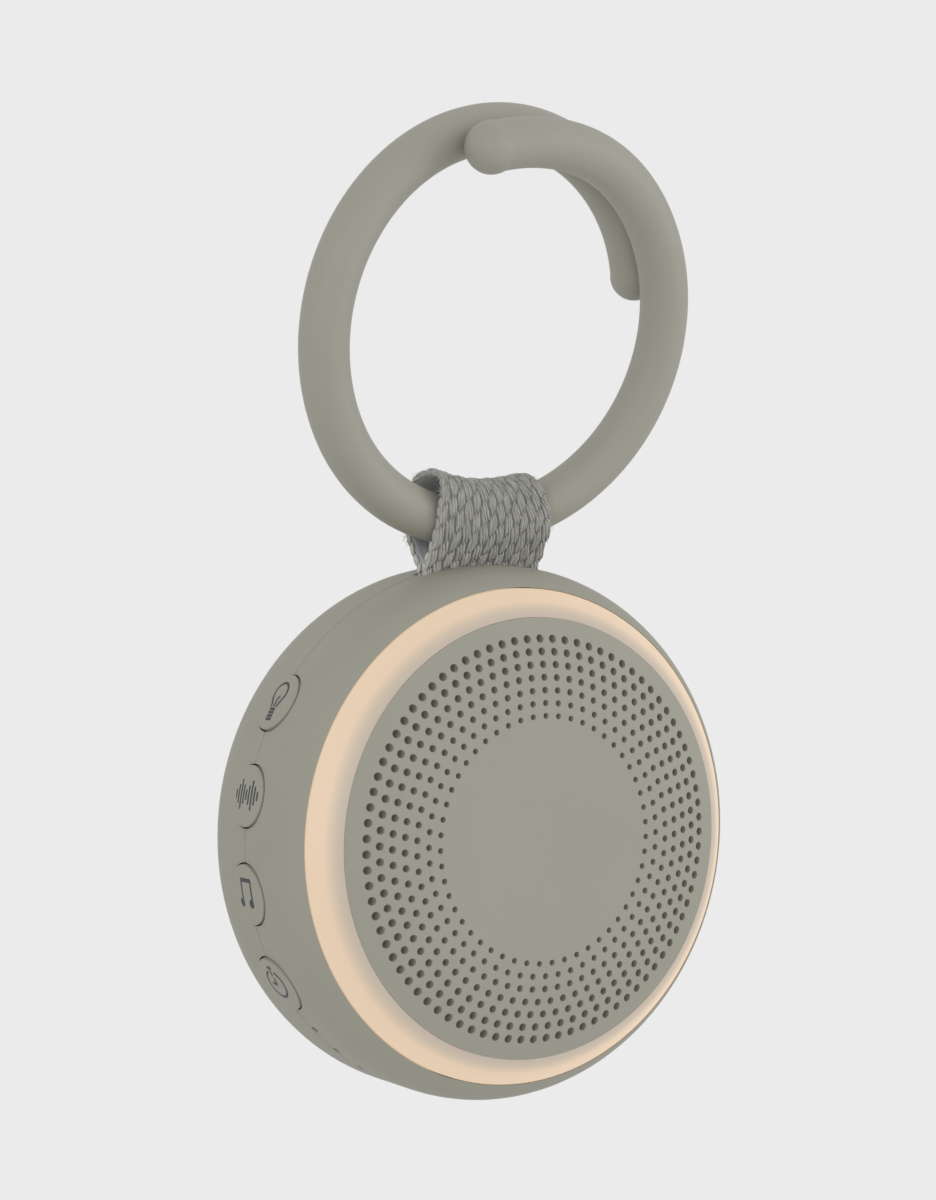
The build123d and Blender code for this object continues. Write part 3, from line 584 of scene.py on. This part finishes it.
def yarn(name, colour, shade, painted_inside_light):
    """Spun yarn: fibres streak along the band, the inside face gets its own paler painted light, and the yarn near
    the slot is painted paler.
    """
    finish, tree, shader = new_finish(name, Roughness=0.9, Sheen_Weight=0.25, Sheen_Roughness=0.5)
    flat = add(tree, "ShaderNodeAttribute", attribute_name="flat_place").outputs["Vector"]
    lengthwise = add(tree, "ShaderNodeVectorMath", {0: flat, 1: (1, fibre_stretch, 1)}, operation="MULTIPLY")
    fibres = add(tree, "ShaderNodeTexNoise", {"Vector": lengthwise.outputs["Vector"], "Scale": 1 / fibre_width,
                                              "Detail": 3.0})
    share = add(tree, "ShaderNodeMapRange", {"Value": fibres.outputs["Fac"], "From Min": 0.3, "From Max": 0.7})
    parts = add(tree, "ShaderNodeSeparateXYZ", {"Vector": flat})
    hidden = add(tree, "ShaderNodeMapRange", {"Value": parts.outputs["Z"], "From Min": 0.0,
                                              "From Max": -core_thickness / 2})
    tone = add(tree, "ShaderNodeMix", {"Factor": share.outputs["Result"], "A": linear(shade), "B": linear(colour)},
               data_type="RGBA")
    # painted light: the inside face of the band turns to its own paler colour
    tone = add(tree, "ShaderNodeMix", {"Factor": hidden.outputs["Result"], "A": tone.outputs["Result"],
                                       "B": linear(painted_inside_light)}, data_type="RGBA")
    # painted light: the yarn is made paler towards the slot, where the band lies in shade
    from_top = add(tree, "ShaderNodeMath", {0: parts.outputs["Y"], 1: strap_length / 2}, operation="SUBTRACT")
    from_top = add(tree, "ShaderNodeMath", {0: from_top.outputs["Value"]}, operation="ABSOLUTE")
    painted_slot_light = add(tree, "ShaderNodeMapRange", {"Value": from_top.outputs["Value"], "From Min": slot_light_start,
                                             "From Max": slot_light_end})
    tone = add(tree, "ShaderNodeMix", {"Factor": painted_slot_light.outputs["Result"], "A": tone.outputs["Result"],
                                       "B": (slot_light_gain, slot_light_gain, slot_light_gain, 1)}, data_type="RGBA",
               blend_type="MULTIPLY")
    bump = add(tree, "ShaderNodeBump", {"Height": fibres.outputs["Fac"], "Distance": fibre_width, "Strength": 0.9})
    tree.links.new(tone.outputs["Result"], shader.inputs["Base Color"])
    tree.links.new(bump.outputs["Normal"], shader.inputs["Normal"])
    return finish


# Spun yarn: soft and dull, with thin pale streaks. The woven core under it is flatter, and its darker colour is
# painted shade between the floats.
yarn_finish = yarn("polyester_spun_yarn", "#B9B8B0", "#989792", "#B9B8B0")
strap_yarns.data.materials.append(yarn_finish)
strap_fuzz.data.materials.append(yarn_finish)
# the core's paler, bluer inside face is painted light inside the loop
core_finish = yarn("polyester_weft_core", "#8A8986", "#767674", "#B4B6B8")
strap_core.data.materials.append(core_finish)
print("yarn finishes made")

# %% [markdown]
# ## Signs on the buttons
# Each button carries a printed sign in dark ink: a lamp, a sound wave, notes and a stopwatch. Pad printing leaves
# a film a few hundredths of a millimetre thick on the slightly domed cap. The strokes are drawn flat as curves,
# made into meshes, pressed flat and then laid on the cap's dome.

# %% Draw the signs flat
ink_width = 0.5


def arc(x, y, radius, start, end, steps=24):
    """Points on an arc, with angles in degrees."""
    turns = [math.radians(start + (end - start) * step / steps) for step in range(steps + 1)]
    return [(x + radius * math.cos(turn), y + radius * math.sin(turn)) for turn in turns]


def walked(stroke, stride=0.3):
    """The same stroke with points close enough together to lie on a dome."""
    spots = [stroke[0]]
    for (x0, y0), (x1, y1) in zip(stroke, stroke[1:]):
        steps = math.ceil(math.hypot(x1 - x0, y1 - y0) / stride)
        spots += [(x0 + (x1 - x0) * i / steps, y0 + (y1 - y0) * i / steps) for i in range(1, steps + 1)]
    return spots


wave_heights = (1.5, 3.1, 4.9, 3.2, 1.7, 3.2, 4.9, 3.1, 1.5)
wave_spacing = 0.88
wave = [[(wave_spacing * (i - 4), -h / 2), (wave_spacing * (i - 4), h / 2)] for i, h in enumerate(wave_heights)]
bulb = [[(-0.85, -1.1), (-0.95, -0.6)] + arc(0, 1.5, 1.9, 215, -35) + [(0.95, -0.6), (0.85, -1.1)],
        [(0, -1.1), (0, 0.2), (0.45, 1.0)]] + [[(-0.85, y), (0.85, y)] for y in (-1.5, -2.1, -2.7, -3.3)]
notes = [[(-1.35, -1.8), (-1.35, 2.2), (1.75, 2.2), (1.75, -1.8)], [(-1.35, 2.0), (1.75, 2.0)]]
notes += [arc(x, -1.8, size, 0, 360) for x in (-1.75, 1.35) for size in (0.5, 0.2)]
timer = [arc(0, -0.3, 2.55, 68, -248), [(0, 1.3), (0, 2.9)], [(-0.65, 2.95), (0.65, 2.95)],
         [(0.2, 1.0), (0.1, -0.4), (-1.2, -0.2)]]
signs = {"light": bulb, "sound": wave, "music": notes, "timer": timer}
print("signs drawn:", {name: len(strokes) for name, strokes in signs.items()})

# %% [markdown]
# ### Laying the ink on the caps
# A cap looks straight out from the body's axis, which is also the line that it is pressed along. Up on a sign runs
# round the body towards the top, and the dome drops away from the middle of the cap by a known amount.

# %% Print the signs
# Pad-printed ink: a thin dark film with a low shine, sharp at its edges.
ink_finish = moulded("ink_pad_printed", "#3C3D40", "#343538", 0.3 * mm, 0.01 * mm, 0.55)
cap_radius = 5.1 * mm
cap_crown = 0.3 * mm
cap_rise = 0.45 * mm
sign_lift = 0.3 * mm
ink_film = 0.03 * mm
cap_face = body_radius + cap_rise
for name, strokes in signs.items():
    cap_low, cap_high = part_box(name + "_button")
    outward = (cap_low + cap_high) / 2 - body_centre
    outward.y = 0
    outward.normalize()
    upward = Vector((outward.z, 0, -outward.x))
    sideways = upward.cross(outward)
    sign_curve = bpy.data.curves.new(name + "_drawn", "CURVE")
    sign_curve.dimensions = "3D"
    sign_curve.bevel_depth = ink_width / 2 * mm
    sign_curve.bevel_resolution = 1
    sign_curve.use_fill_caps = True
    for stroke in strokes:
        spots = walked(stroke)
        ink_line = sign_curve.splines.new("POLY")
        ink_line.points.add(len(spots) - 1)
        for point, (x, y) in zip(ink_line.points, spots):
            point.co = (x * mm, y * mm + sign_lift, 0, 1)
    mesh = mesh_of(sign_curve)
    for vertex in mesh.vertices:
        x, y, z = vertex.co
        drop = cap_crown * (x * x + y * y) / cap_radius ** 2
        height = cap_face - drop + z * ink_film / (ink_width / 2 * mm)
        vertex.co = body_centre + x * sideways + y * upward + height * outward
    mesh.materials.append(ink_finish)
    sign = bpy.data.objects.new(name + "_sign", mesh)
    bpy.context.scene.collection.objects.link(sign)
    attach(sign, name + "_key")
print("printed", len(signs), "signs")

# %% [markdown]
# ## Floor, backdrop and light
# The photograph is a studio cut-out on pale grey, lit so softly that hardly any shadow is left. A pale floor lies
# well below the hanging object, the world shows the same grey, and two wide soft lamps, left and right of the
# front, shape the form a little.

# %% Build the studio
backdrop = "#EBEBEB"
floor_drop = 60 * mm
floor_size = 6.0


def shows_backdrop(tree, lit, plain):
    """Mixes a lit shader with a plain one for rays that the eye sees directly or in gloss and glass."""
    rays = add(tree, "ShaderNodeLightPath").outputs
    seen = rays["Is Camera Ray"]
    for kind in ("Is Glossy Ray", "Is Transmission Ray"):
        seen = add(tree, "ShaderNodeMath", {0: seen, 1: rays[kind]}, operation="MAXIMUM").outputs["Value"]
    return add(tree, "ShaderNodeMixShader", {0: seen, 1: lit, 2: plain}).outputs["Shader"]


world = bpy.data.worlds.new("studio")
bpy.context.scene.world = world
world.use_nodes = True
tree = world.node_tree
tree.nodes.clear()
ambient = add(tree, "ShaderNodeBackground", {"Color": linear("#FFFFFF"), "Strength": 0.75})
pale = add(tree, "ShaderNodeBackground", {"Color": linear(backdrop), "Strength": 1.0})
mixed = shows_backdrop(tree, ambient.outputs["Background"], pale.outputs["Background"])
add(tree, "ShaderNodeOutputWorld", {"Surface": mixed})

floor_finish = bpy.data.materials.new("studio_floor_paper")
floor_finish.use_nodes = True
tree = floor_finish.node_tree
tree.nodes.clear()
matt = add(tree, "ShaderNodeBsdfDiffuse", {"Color": linear(backdrop)})
pale = add(tree, "ShaderNodeEmission", {"Color": linear(backdrop), "Strength": 1.0})
mixed = shows_backdrop(tree, matt.outputs["BSDF"], pale.outputs["Emission"])
add(tree, "ShaderNodeOutputMaterial", {"Surface": mixed})

shape = bmesh.new()
bmesh.ops.create_grid(shape, x_segments=1, y_segments=1, size=floor_size / 2,
                      matrix=Matrix.Translation((0, 0, cad_box[0][2] - floor_drop)))
floor_mesh = bpy.data.meshes.new("floor")
shape.to_mesh(floor_mesh)
shape.free()
floor_mesh.materials.append(floor_finish)
floor = bpy.data.objects.new("floor", floor_mesh)
bpy.context.scene.collection.objects.link(floor)


def softbox(name, place, size, power):
    """A wide square lamp at a place round the body, aimed at it."""
    data = bpy.data.lights.new(name, "AREA")
    data.size = size
    data.energy = power
    lamp = bpy.data.objects.new(name, data)
    spot = body_centre + Vector(place)
    aim = (body_centre - spot).to_track_quat("-Z", "Y").to_matrix().to_4x4()
    lamp.matrix_world = Matrix.Translation(spot) @ aim
    bpy.context.scene.collection.objects.link(lamp)


softbox("key", (-1.0, -0.9, 0.1), 0.9, 3.6)
softbox("fill", (1.0, -0.8, 0.1), 0.9, 4.4)
print("studio built")
